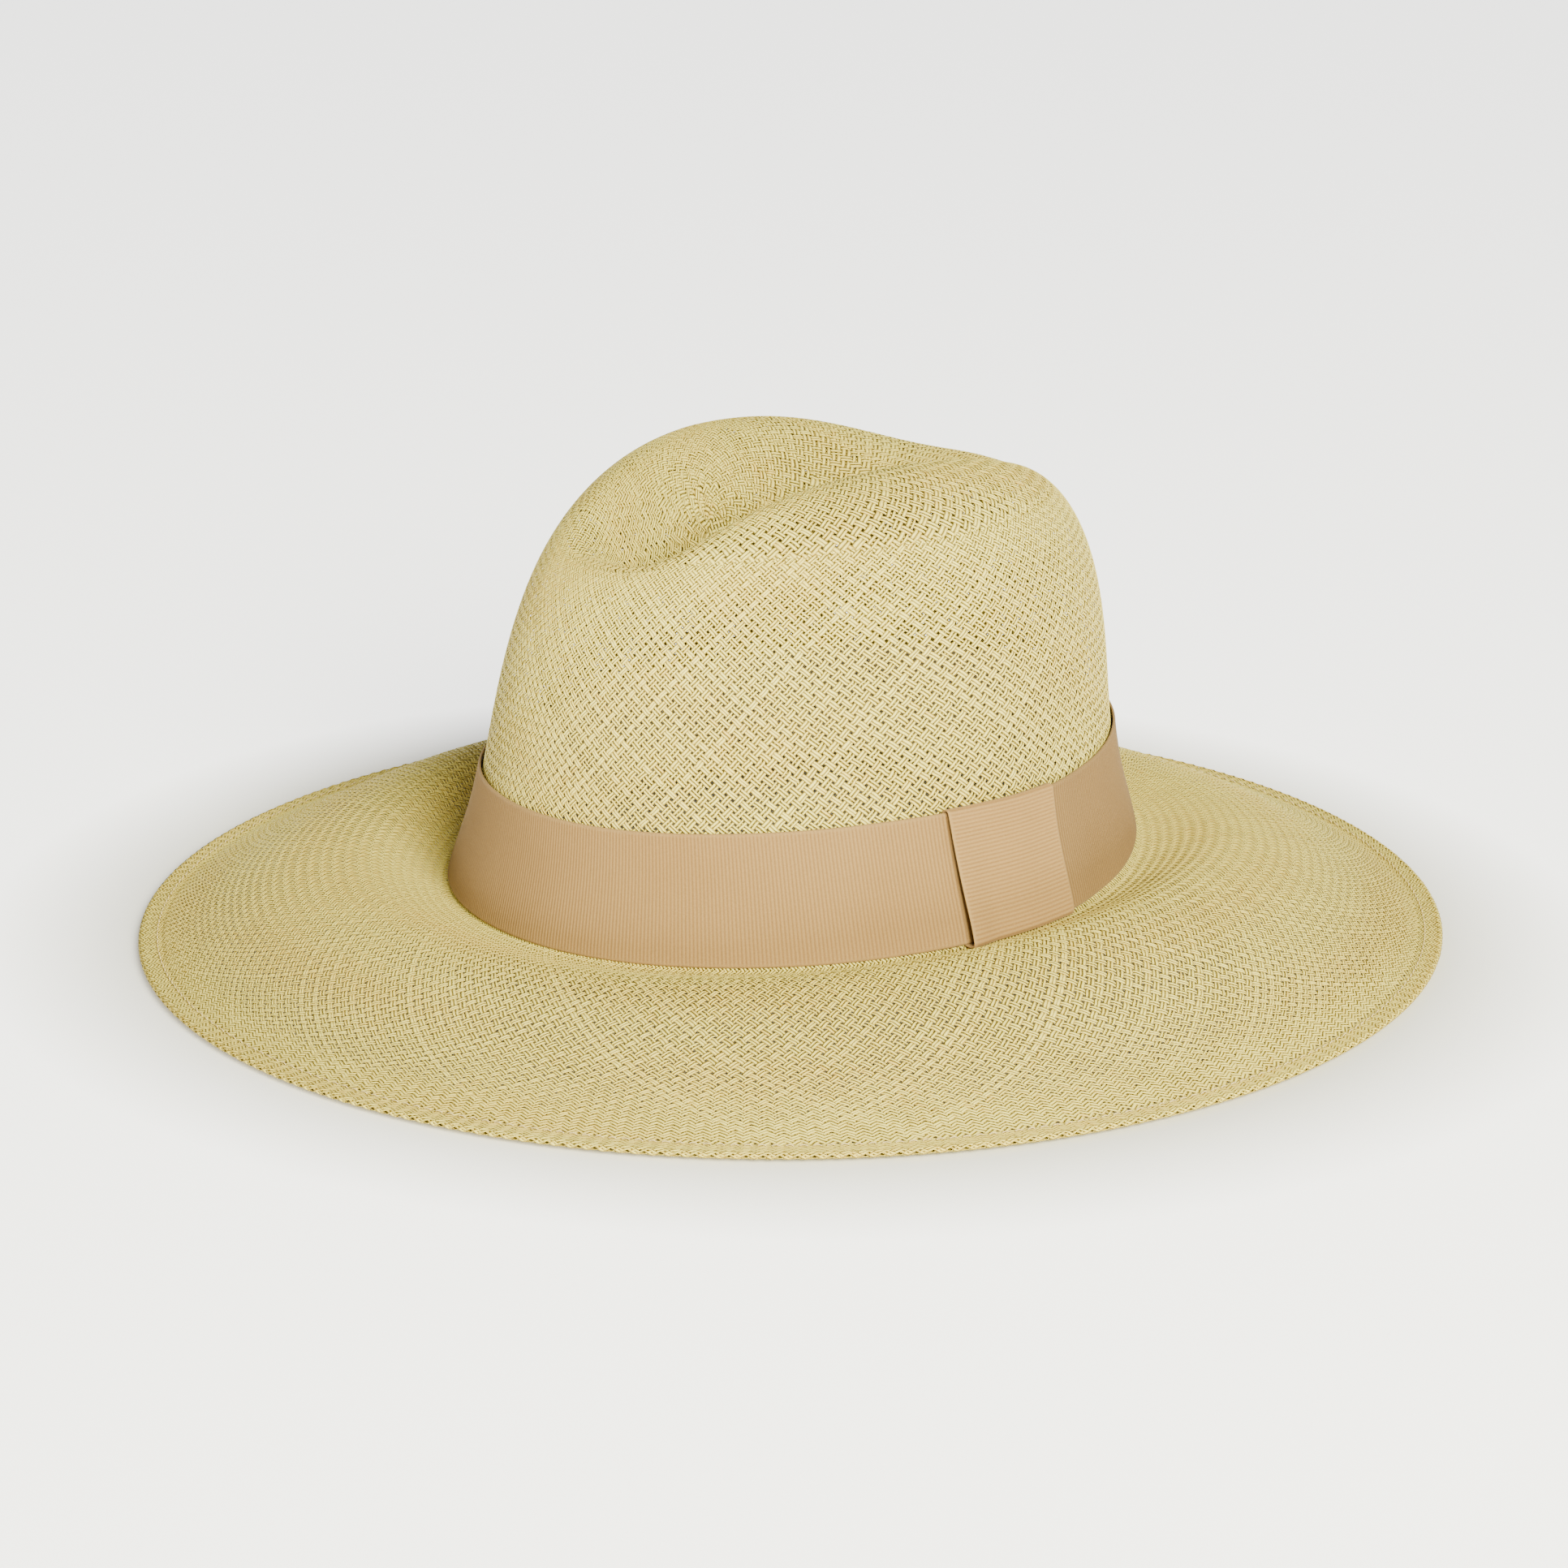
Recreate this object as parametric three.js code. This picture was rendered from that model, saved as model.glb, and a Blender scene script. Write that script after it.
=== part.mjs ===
// Panama hat: a woven straw body with a wired, folded brim edge, a grosgrain ribbon with a flat
// keeper, and a sweatband with its reed. Millimetres, +Z up. The hat stands on its brim edge at
// z = 0 with its front towards -Y, so +X is the wearer's left. The origin is the middle of that base.
import * as THREE from "three";

// Straw body
const STRAW_THICKNESS = 0.9;
const CROWN_HALF_WIDTH = 84;
const CROWN_HALF_LENGTH = 102;
const CROWN_HEIGHT = 114;
const CROWN_LIFT = 17.5;        // crown base above the brim edge, at the front and sides
const BACK_LIFT = 6;            // extra lift of the crown base at the very back
const BRIM_HALF_WIDTH = 172.5;
const BRIM_HALF_LENGTH = 182;

// Crown block: how the sides lean, and how square the shoulders are
const FLARE_WIDTH = 8;
const FLARE_LENGTH = 7.3;
const FLARE_HEIGHT = 20;
const FLARE_SHARPNESS = 1.5;
const SIDE_LEAN = 2.3;
const FRONT_SWELL = 2.5;
const BACK_SWELL = 0.8;
const FRONT_SQUARENESS = 3.7;
const BACK_SQUARENESS = 4;
const FRONT_NARROWING = 0.19;
const RIDGE_RISE = 3;
const RIDGE_MIDDLE = 4;
const RIDGE_SPREAD = 64;

// Hand-pressed dents: the teardrop crease on top and the pinch on each side of the front
const CREASE_DEPTH = 31.4;
const CREASE_HALF_WIDTH = 21;
const CREASE_TAPER = 231;       // the crease is pointed at the front and widens towards the back
const CREASE_SQUARENESS = 2.7;
const CREASE_FRONT = -65.5;
const CREASE_FRONT_EASE = 5.4;
const CREASE_BACK = 45.2;
const CREASE_BACK_EASE = 14.7;
const CREASE_REACH = 1.15;      // the crease has its full depth where the height share is over 1 / 1.15
const PINCH_DEPTH = 6.6;
const PINCH_ONSET = 18;
const PINCH_Y = -43;
const PINCH_LENGTH = 40;
const PINCH_HEIGHT = 75;
const PINCH_SPREAD = 35;

// Brim: a soft roll beside the crown, then a droop to a flat rim
const ROLL_HEIGHT = 6.5;
const ROLL_SIDE_RISE = 2.5;
const ROLL_AT = 0.27;
const DROOP_POWER = 1.7;
const DROOP_EASE = 0.35;
const RIM_START = 0.932;
const RIM_WIDTH = 6;
const RIM_THICKNESS = 2.6;
const RIM_LAYER = 0.6;
const RIM_BEND = 0.8;
const WIRE_RADIUS = 0.4;
const WIRE_INSET = 1.9;
const THREAD = 0.4;
const RIM_STITCH_INSET = 4.6;

// Band, keeper and sweatband
const CLEARANCE = 0.4;          // gap kept between pieces that touch on the real hat
const RIBBON_THICKNESS = 0.7;
const RIBBON_BOTTOM = 1.8;
const RIBBON_TOP = 33.6;
const KEEPER_THICKNESS = 0.6;
const KEEPER_START = -14;       // degrees round from the wearer's left, towards the back
const KEEPER_END = 8;
const KEEPER_EASE = 12;         // degrees beside the keeper where the ribbon comes back to the straw
const KEEPER_STEPS = 4;
const TACK_LENGTH = 1.6;
const SWEATBAND_THICKNESS = 0.8;
const SWEATBAND_TOP = 33;
const REED_RADIUS = 0.6;
const REED_HEIGHT = 0.5;
const TURN_UP = 2.6;            // height of the sweatband's turned-up end
const SWEATBAND_STITCH_HEIGHT = 5;
const TAPE_WIDTH = 12;
const TAPE_LENGTH = 22;
const TAPE_THICKNESS = 0.5;
const TAPE_HEIGHT = 19;
const CORD_SIDES = 6;

const SEGMENTS = 60;
const RIBBON_ROWS = [8, 16, 24];  // heights shared by the crown, ribbon and sweatband facets
const CROWN_ROWS = [0, ...RIBBON_ROWS, RIBBON_TOP, 48, 64, 80, 94];
const CROWN_TOP_ROWS = [0, 0.12, 0.24, 0.36, 0.48, 0.6, 0.72];
const BRIM_ROWS = [0.04, 0.1, 0.18, 0.27, 0.4, 0.55, 0.7, 0.83];
const STEP = 1e-3;

const clamp01 = (value) => Math.min(1, Math.max(0, value));
const smooth = (value) => clamp01(value) ** 2 * (3 - 2 * clamp01(value));
const bell = (value) => Math.exp(-value * value);
const fadeIn = (value) => 1 / (1 + Math.exp(-value));
const mix = THREE.MathUtils.lerp;

// ---- shape of the straw ----

const squareness = (angle) => mix(FRONT_SQUARENESS, BACK_SQUARENESS, (1 + Math.sin(angle)) / 2);
const baseHeight = (angle) => CROWN_LIFT + BACK_LIFT * Math.max(0, Math.sin(angle)) ** 2;

// The block before it is dented: height is a share of the whole, reach is a share of the half width.
const reachAt = (angle, share) => (1 - share ** squareness(angle)) ** (1 / squareness(angle));

function crownPoint(angle, share, reach) {
  const back = (1 + Math.sin(angle)) / 2;
  const flare = 1 - Math.exp(-(((share * CROWN_HEIGHT) / FLARE_HEIGHT) ** FLARE_SHARPNESS));
  const halfWidth = CROWN_HALF_WIDTH - FLARE_WIDTH * flare - SIDE_LEAN * share;
  const halfLength = CROWN_HALF_LENGTH - FLARE_LENGTH * flare + mix(FRONT_SWELL, BACK_SWELL, back) * share;
  const y = halfLength * reach * Math.sin(angle);
  let x = halfWidth * reach * Math.cos(angle);
  x *= 1 - FRONT_NARROWING * clamp01(-y / CROWN_HALF_LENGTH) * share;
  let z = CROWN_HEIGHT * share + RIDGE_RISE * bell((y - RIDGE_MIDDLE) / RIDGE_SPREAD) * share ** 3;
  const pinch = bell((y - PINCH_Y) / PINCH_LENGTH) * bell((z - PINCH_HEIGHT) / PINCH_SPREAD);
  x -= PINCH_DEPTH * Math.tanh(x / PINCH_ONSET) * pinch;
  const creaseWidth = CREASE_HALF_WIDTH * (1 + y / CREASE_TAPER);
  const across = Math.exp(-(Math.abs(x / creaseWidth) ** CREASE_SQUARENESS));
  const frontEnd = fadeIn((y - CREASE_FRONT) / CREASE_FRONT_EASE);
  const backEnd = fadeIn((CREASE_BACK - y) / CREASE_BACK_EASE);
  z -= CREASE_DEPTH * across * frontEnd * backEnd * Math.min(1, CREASE_REACH * share) ** 2;
  return new THREE.Vector3(x, y, z + mix(baseHeight(angle), CROWN_LIFT, share));
}

// Share runs from 0 at the crown to 1 at the brim's edge.
function brimPoint(angle, share) {
  const x = mix(CROWN_HALF_WIDTH, BRIM_HALF_WIDTH, share) * Math.cos(angle);
  const y = mix(CROWN_HALF_LENGTH, BRIM_HALF_LENGTH, share) * Math.sin(angle);
  const rollTop = CROWN_LIFT + ROLL_HEIGHT + ROLL_SIDE_RISE * Math.cos(2 * angle);
  if (share < ROLL_AT) {
    return new THREE.Vector3(x, y, mix(baseHeight(angle), rollTop, smooth(share / ROLL_AT)));
  }
  const fall = clamp01((share - ROLL_AT) / (RIM_START - ROLL_AT));
  const droop = fall ** DROOP_POWER * (1 + DROOP_EASE - DROOP_EASE * fall * fall);
  return new THREE.Vector3(x, y, mix(rollTop, RIM_THICKNESS, droop));
}

// The crown's wall by height above its base, and its top by reach from the middle.
function wallSurface(angle, height) {
  const share = clamp01(height / CROWN_HEIGHT);
  const point = crownPoint(angle, share, reachAt(angle, share));
  point.z += Math.min(height, 0);
  return point;
}

const topSurface = (angle, reach) => crownPoint(angle, reachAt(angle, reach), reach);

function normalOf(surface, angle, at) {
  const along = surface(angle, at + STEP).sub(surface(angle, at - STEP));
  const around = surface(angle + STEP, at).sub(surface(angle - STEP, at));
  return along.cross(around).normalize();
}

// A point on the wall, moved out of (or, if negative, into) the straw.
const wallPoint = (angle, height, out) =>
  wallSurface(angle, height).addScaledVector(normalOf(wallSurface, angle, height), -out);

function crownTopPoint(angle, reach, out) {
  const up = reach === 0 ? new THREE.Vector3(0, 0, 1) : normalOf(topSurface, angle, reach);
  return topSurface(angle, reach).addScaledVector(up, out);
}

const brimSkin = (angle, share, out) =>
  brimPoint(angle, share).addScaledVector(normalOf(brimPoint, angle, share), out);

// A point of the rim, at a distance in from the brim's edge and a height over the ground.
function rimPoint(angle, inset, height) {
  const x = (BRIM_HALF_WIDTH - inset) * Math.cos(angle);
  const y = (BRIM_HALF_LENGTH - inset) * Math.sin(angle);
  return new THREE.Vector3(x, y, height);
}

// ---- building ----

// A closed skin round the hat. Each row is a function from an angle to a point.
function ring(rows, closesOnAxis) {
  const profile = rows.map((row, index) => new THREE.Vector2(closesOnAxis ? 0 : 1, index));
  if (!closesOnAxis) profile.push(profile[0].clone());
  const geometry = new THREE.LatheGeometry(profile, SEGMENTS);
  const place = geometry.attributes.position;
  for (let index = 0; index < place.count; index += 1) {
    const segment = (SEGMENTS - Math.floor(index / profile.length)) % SEGMENTS;
    const row = rows[(index % profile.length) % rows.length];
    const point = row((segment / SEGMENTS) * Math.PI * 2);
    place.setXYZ(index, point.x, point.y, point.z);
  }
  geometry.deleteAttribute("normal");
  geometry.deleteAttribute("uv");
  return geometry;
}

// Rows of a round cord, from its middle row.
function cordRows(radius, pointAt) {
  return Array.from({ length: CORD_SIDES }, (_, side) => {
    const turn = (side / CORD_SIDES) * Math.PI * 2;
    return (angle) => pointAt(angle, radius * Math.cos(turn), radius * Math.sin(turn));
  });
}

// Rows of a flat thread, from its low, near corner.
function threadRows(pointAt) {
  return [[0, 0], [THREAD, 0], [THREAD, THREAD], [0, THREAD]].map(
    ([across, up]) => (angle) => pointAt(angle, across, up));
}

function piece(name, geometry, color, roughness, metalness = 0) {
  const mesh = new THREE.Mesh(geometry, new THREE.MeshStandardMaterial({ color, roughness, metalness }));
  mesh.name = name;
  return mesh;
}

// The weave of crown and brim is one piece, doubled back under itself at the rim round the wire.
function strawBody() {
  const outer = [
    ...CROWN_TOP_ROWS.map((reach) => (angle) => crownTopPoint(angle, reach, 0)),
    ...CROWN_ROWS.map((height) => (angle) => wallPoint(angle, height, 0)).reverse(),
    ...BRIM_ROWS.map((share) => (angle) => brimPoint(angle, share)),
  ];
  const rim = [
    [RIM_WIDTH, RIM_THICKNESS], [RIM_BEND, RIM_THICKNESS], [0, RIM_THICKNESS / 2], [RIM_BEND, 0],
    [RIM_WIDTH, 0], [RIM_WIDTH, RIM_LAYER], [1.5 * RIM_BEND, RIM_LAYER], [RIM_BEND, RIM_THICKNESS / 2],
    [1.5 * RIM_BEND, RIM_THICKNESS - RIM_LAYER], [RIM_WIDTH, RIM_THICKNESS - RIM_LAYER],
  ].map(([inset, height]) => (angle) => rimPoint(angle, inset, height));
  const corner = (angle) => wallPoint(angle, 0, -STRAW_THICKNESS).setZ(baseHeight(angle) - STRAW_THICKNESS);
  const inner = [
    ...BRIM_ROWS.map((share) => (angle) => brimSkin(angle, share, -STRAW_THICKNESS)).reverse(),
    corner,
    ...CROWN_ROWS.slice(1).map((height) => (angle) =>
      wallPoint(angle, height, -STRAW_THICKNESS)),
    ...CROWN_TOP_ROWS.map((reach) => (angle) => crownTopPoint(angle, reach, -STRAW_THICKNESS)).reverse(),
  ];
  return piece("straw_body", ring([...outer, ...rim, ...inner], true), 0xe6d9a8, 0.75);
}

function brimWire() {
  const rows = cordRows(WIRE_RADIUS, (angle, across, up) =>
    rimPoint(angle, WIRE_INSET + across, RIM_THICKNESS / 2 + up));
  return piece("brim_wire", ring(rows, false), 0x9a9a96, 0.4, 1);
}

function brimStitching() {
  const rows = threadRows((angle, across, up) =>
    rimPoint(angle, RIM_STITCH_INSET + across, RIM_THICKNESS + CLEARANCE + up));
  return piece("brim_stitching", ring(rows, false), 0xd8c48e, 0.8);
}

// The ribbon lies on the crown, and stands off it where the keeper passes behind.
function ribbonGap(angle) {
  const degrees = THREE.MathUtils.radToDeg(angle);
  const turned = degrees > 180 ? degrees - 360 : degrees;
  const apart = Math.max(KEEPER_START - turned, turned - KEEPER_END, 0);
  return CLEARANCE + (KEEPER_THICKNESS + CLEARANCE) * (1 - smooth(apart / KEEPER_EASE));
}

function hatRibbon() {
  const heights = [RIBBON_BOTTOM, ...RIBBON_ROWS, RIBBON_TOP];
  const rows = [
    ...heights.map((height) => (angle) => wallPoint(angle, height, ribbonGap(angle))),
    ...heights.map((height) => (angle) =>
      wallPoint(angle, height, ribbonGap(angle) + RIBBON_THICKNESS)).reverse(),
  ];
  return piece("hat_ribbon", ring(rows, false), 0xd0b48c, 0.7);
}

function rectangle(path, left, bottom, right, top, rows) {
  path.moveTo(left, bottom);
  path.lineTo(right, bottom);
  rows.forEach((height) => path.lineTo(right, height));
  path.lineTo(right, top);
  path.lineTo(left, top);
  [...rows].reverse().forEach((height) => path.lineTo(left, height));
  path.closePath();
  return path;
}

// A flat loop of ribbon round the band: it passes over the band's face and back behind it.
function ribbonKeeper() {
  const bandFace = 2 * CLEARANCE + KEEPER_THICKNESS + RIBBON_THICKNESS;
  const near = CLEARANCE + KEEPER_THICKNESS;
  const far = bandFace + CLEARANCE;
  const bottom = RIBBON_BOTTOM - CLEARANCE;
  const top = RIBBON_TOP + CLEARANCE;
  const loop = rectangle(new THREE.Shape(), CLEARANCE, bottom - KEEPER_THICKNESS,
    far + KEEPER_THICKNESS, top + KEEPER_THICKNESS, RIBBON_ROWS);
  loop.holes.push(rectangle(new THREE.Path(), near, bottom, far, top, RIBBON_ROWS));
  const geometry = new THREE.ExtrudeGeometry(loop, { depth: 1, steps: KEEPER_STEPS, bevelEnabled: false });
  const place = geometry.attributes.position;
  for (let index = 0; index < place.count; index += 1) {
    const turn = mix(KEEPER_END, KEEPER_START, place.getZ(index));
    const point = wallPoint(THREE.MathUtils.degToRad(turn), place.getY(index), place.getX(index));
    place.setXYZ(index, point.x, point.y, point.z);
  }
  return piece("ribbon_keeper", geometry, 0xd6bb94, 0.7);
}

// Small tacks of thread hold the ribbon's top edge to the crown.
function ribbonTack(name, degrees) {
  const geometry = new THREE.BoxGeometry(THREAD, TACK_LENGTH, THREAD);
  const angle = THREE.MathUtils.degToRad(degrees);
  const mesh = piece(name, geometry, 0xcbb088, 0.8);
  mesh.position.copy(wallPoint(angle, RIBBON_TOP + 3 * THREAD, CLEARANCE + THREAD));
  mesh.rotation.z = angle;
  return mesh;
}

// The sweatband's lower end is turned up inside itself, round the reed.
function sweatband() {
  const face = STRAW_THICKNESS + CLEARANCE;
  const back = face + SWEATBAND_THICKNESS;
  const turn = back + 2 * REED_RADIUS + 2 * CLEARANCE;
  const low = REED_HEIGHT - REED_RADIUS - CLEARANCE;
  const rows = [
    [face, SWEATBAND_TOP], ...[...RIBBON_ROWS].reverse().map((height) => [face, height]),
    [face, low], [back, low - SWEATBAND_THICKNESS], [turn, low - SWEATBAND_THICKNESS],
    [turn + SWEATBAND_THICKNESS, low], [turn + SWEATBAND_THICKNESS, TURN_UP], [turn, TURN_UP], [turn, low],
    [back, low], ...RIBBON_ROWS.map((height) => [back, height]), [back, SWEATBAND_TOP],
  ].map(([inwards, height]) => (angle) => wallPoint(angle, height, -inwards));
  return piece("sweatband", ring(rows, false), 0xe9dfc8, 0.65);
}

function sweatbandReed() {
  const middle = STRAW_THICKNESS + SWEATBAND_THICKNESS + 2 * CLEARANCE + REED_RADIUS;
  const rows = cordRows(REED_RADIUS, (angle, across, up) =>
    wallPoint(angle, 0, -(middle + across)).setZ(baseHeight(angle) + REED_HEIGHT + up));
  return piece("sweatband_reed", ring(rows, false), 0xd9d4c4, 0.5);
}

function sweatbandStitching() {
  const inwards = STRAW_THICKNESS + SWEATBAND_THICKNESS + 2 * CLEARANCE;
  const rows = threadRows((angle, across, up) =>
    wallPoint(angle, SWEATBAND_STITCH_HEIGHT + up, -(inwards + across)));
  return piece("sweatband_stitching", ring(rows, false), 0xcdbb92, 0.8);
}

// A strip of tape covers the sweatband's join at the back.
function seamTape() {
  const geometry = new THREE.BoxGeometry(TAPE_WIDTH, TAPE_LENGTH, TAPE_THICKNESS);
  const mesh = piece("sweatband_seam_tape", geometry, 0xd8c7a2, 0.7);
  const inwards = STRAW_THICKNESS + SWEATBAND_THICKNESS + 2 * CLEARANCE + TAPE_THICKNESS / 2;
  mesh.position.copy(wallPoint(Math.PI / 2, TAPE_HEIGHT, -inwards));
  const inward = normalOf(wallSurface, Math.PI / 2, TAPE_HEIGHT);
  mesh.quaternion.setFromUnitVectors(new THREE.Vector3(0, 0, 1), inward);
  return mesh;
}

const hat = new THREE.Group();
hat.add(strawBody(), brimWire(), brimStitching(), hatRibbon(), ribbonKeeper());
hat.add(ribbonTack("ribbon_tack_right", 180), ribbonTack("ribbon_tack_back", 90));
hat.add(sweatband(), sweatbandReed(), sweatbandStitching(), seamTape());

export default hat;
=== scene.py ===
"""A woven straw panama hat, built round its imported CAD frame.

The straw is made strand by strand: pairs of flat straws run in two opposed spirals from the middle of the
crown to the rim, pass over and under each other at every crossing, and are folded back under the rim.
Metres, +Z up. The front of the hat faces -Y, and angles are measured from +X towards +Y.
"""
import math

import bpy
import numpy as np
from mathutils import Matrix, Vector

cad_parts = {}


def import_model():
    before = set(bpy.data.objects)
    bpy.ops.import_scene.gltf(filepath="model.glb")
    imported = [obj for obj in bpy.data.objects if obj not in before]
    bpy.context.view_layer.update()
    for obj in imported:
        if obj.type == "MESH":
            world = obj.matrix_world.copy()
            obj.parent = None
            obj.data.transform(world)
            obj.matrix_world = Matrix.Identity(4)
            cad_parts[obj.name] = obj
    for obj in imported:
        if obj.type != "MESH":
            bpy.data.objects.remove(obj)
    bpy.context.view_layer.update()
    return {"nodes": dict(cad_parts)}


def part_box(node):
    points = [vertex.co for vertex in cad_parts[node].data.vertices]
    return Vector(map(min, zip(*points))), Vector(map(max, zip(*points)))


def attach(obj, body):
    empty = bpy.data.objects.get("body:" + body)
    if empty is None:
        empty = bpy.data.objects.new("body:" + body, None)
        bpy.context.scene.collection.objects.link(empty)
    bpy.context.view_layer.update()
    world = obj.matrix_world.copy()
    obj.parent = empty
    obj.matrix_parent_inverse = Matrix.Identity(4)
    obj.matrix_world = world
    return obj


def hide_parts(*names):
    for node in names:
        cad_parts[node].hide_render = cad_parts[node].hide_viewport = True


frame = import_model()

MM = 0.001
TURN = 2 * math.pi

# The brim's half sizes, from the frame
brim_corner = np.array(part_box("straw_body")[1])
BRIM_HALF_WIDTH, BRIM_HALF_LENGTH = brim_corner[0], brim_corner[1]

# The shape of the straw, as on the CAD body
STRAW_THICKNESS = 0.9 * MM
CROWN_HALF_WIDTH = 84 * MM
CROWN_HALF_LENGTH = 102 * MM
CROWN_HEIGHT = 114 * MM
CROWN_LIFT = 17.5 * MM      # crown base above the brim edge, at the front and sides
BACK_LIFT = 6 * MM          # extra lift of the crown base at the very back
RIM_WIDTH = 6 * MM
RIM_THICKNESS = 2.6 * MM
RIM_LAYER = 0.55 * MM       # one layer of straw in the folded rim
RIM_START = 0.932           # share of the brim's width where the rim begins
ROLL_AT = 0.27              # share of the brim's width where it is highest
ROLL_HEIGHT = 6.5 * MM
ROLL_SIDE_RISE = 2.5 * MM
DROOP_POWER = 1.7
DROOP_EASE = 0.35
RIBBON_TOP = 33.6 * MM
KEEPER_START, KEEPER_END = -14, 8   # degrees round from the wearer's left, towards the back
CLEARANCE = 0.4 * MM

# The block that shapes the crown
FLARE_WIDTH = 8 * MM
FLARE_LENGTH = 7.3 * MM
FLARE_HEIGHT = 20 * MM
FLARE_SHARPNESS = 1.5
SIDE_LEAN = 2.3 * MM
FRONT_SWELL = 2.5 * MM
BACK_SWELL = 0.8 * MM
FRONT_SQUARENESS = 3.7
BACK_SQUARENESS = 4.0
FRONT_NARROWING = 0.19
RIDGE_RISE = 3 * MM
RIDGE_MIDDLE = 4 * MM
RIDGE_SPREAD = 64 * MM

# Hand-pressed dents: the teardrop crease on top and the pinch on each side of the front
CREASE_DEPTH = 31.4 * MM
CREASE_HALF_WIDTH = 21 * MM
CREASE_TAPER = 231 * MM     # the crease is pointed at the front and widens towards the back
CREASE_SQUARENESS = 2.7
CREASE_FRONT = -65.5 * MM
CREASE_FRONT_EASE = 5.4 * MM
CREASE_BACK = 45.2 * MM
CREASE_BACK_EASE = 14.7 * MM
CREASE_REACH = 1.15         # the crease has its full depth where the height share is over 1 / 1.15
PINCH_DEPTH = 6.6 * MM
PINCH_ONSET = 18 * MM
PINCH_Y = -43 * MM
PINCH_LENGTH = 40 * MM
PINCH_HEIGHT = 75 * MM
PINCH_SPREAD = 35 * MM

rng = np.random.default_rng(7)


def mix(low, high, share):
    return low + (high - low) * share


def smooth(value):
    held = np.clip(value, 0, 1)
    return held * held * (3 - 2 * held)


def bell(value):
    return np.exp(-value * value)


def fade_in(value):
    return 1 / (1 + np.exp(-value))


# ---- the shape of the hat ----


def base_height(angle):
    return CROWN_LIFT + BACK_LIFT * np.maximum(0, np.sin(angle)) ** 2


def reach_at(angle, share):
    squareness = mix(FRONT_SQUARENESS, BACK_SQUARENESS, (1 + np.sin(angle)) / 2)
    return np.maximum(0, 1 - share**squareness) ** (1 / squareness)


def crown_point(angle, share, reach):
    back = (1 + np.sin(angle)) / 2
    flare = 1 - np.exp(-((share * CROWN_HEIGHT / FLARE_HEIGHT) ** FLARE_SHARPNESS))
    half_width = CROWN_HALF_WIDTH - FLARE_WIDTH * flare - SIDE_LEAN * share
    half_length = CROWN_HALF_LENGTH - FLARE_LENGTH * flare + mix(FRONT_SWELL, BACK_SWELL, back) * share
    y = half_length * reach * np.sin(angle)
    x = half_width * reach * np.cos(angle)
    x = x * (1 - FRONT_NARROWING * np.clip(-y / CROWN_HALF_LENGTH, 0, 1) * share)
    z = CROWN_HEIGHT * share + RIDGE_RISE * bell((y - RIDGE_MIDDLE) / RIDGE_SPREAD) * share**3
    pinch = bell((y - PINCH_Y) / PINCH_LENGTH) * bell((z - PINCH_HEIGHT) / PINCH_SPREAD)
    x = x - PINCH_DEPTH * np.tanh(x / PINCH_ONSET) * pinch
    crease_width = CREASE_HALF_WIDTH * (1 + y / CREASE_TAPER)
    across = np.exp(-(np.abs(x / crease_width) ** CREASE_SQUARENESS))
    front_end = fade_in((y - CREASE_FRONT) / CREASE_FRONT_EASE)
    back_end = fade_in((CREASE_BACK - y) / CREASE_BACK_EASE)
    z = z - CREASE_DEPTH * across * front_end * back_end * np.minimum(1, CREASE_REACH * share) ** 2
    return np.stack([x, y, z + mix(base_height(angle), CROWN_LIFT, share)], -1)


def brim_point(angle, share):
    x = mix(CROWN_HALF_WIDTH, BRIM_HALF_WIDTH, share) * np.cos(angle)
    y = mix(CROWN_HALF_LENGTH, BRIM_HALF_LENGTH, share) * np.sin(angle)
    roll_top = CROWN_LIFT + ROLL_HEIGHT + ROLL_SIDE_RISE * np.cos(2 * angle)
    inner = mix(base_height(angle), roll_top, smooth(share / ROLL_AT))
    fall = np.clip((share - ROLL_AT) / (RIM_START - ROLL_AT), 0, 1)
    droop = fall**DROOP_POWER * (1 + DROOP_EASE - DROOP_EASE * fall * fall)
    outer = mix(roll_top, RIM_THICKNESS, droop)
    return np.stack([x, y, np.where(share < ROLL_AT, inner, outer)], -1)


def wall_point(angle, height):
    share = height / CROWN_HEIGHT
    return crown_point(angle, share, reach_at(angle, share))


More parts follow.
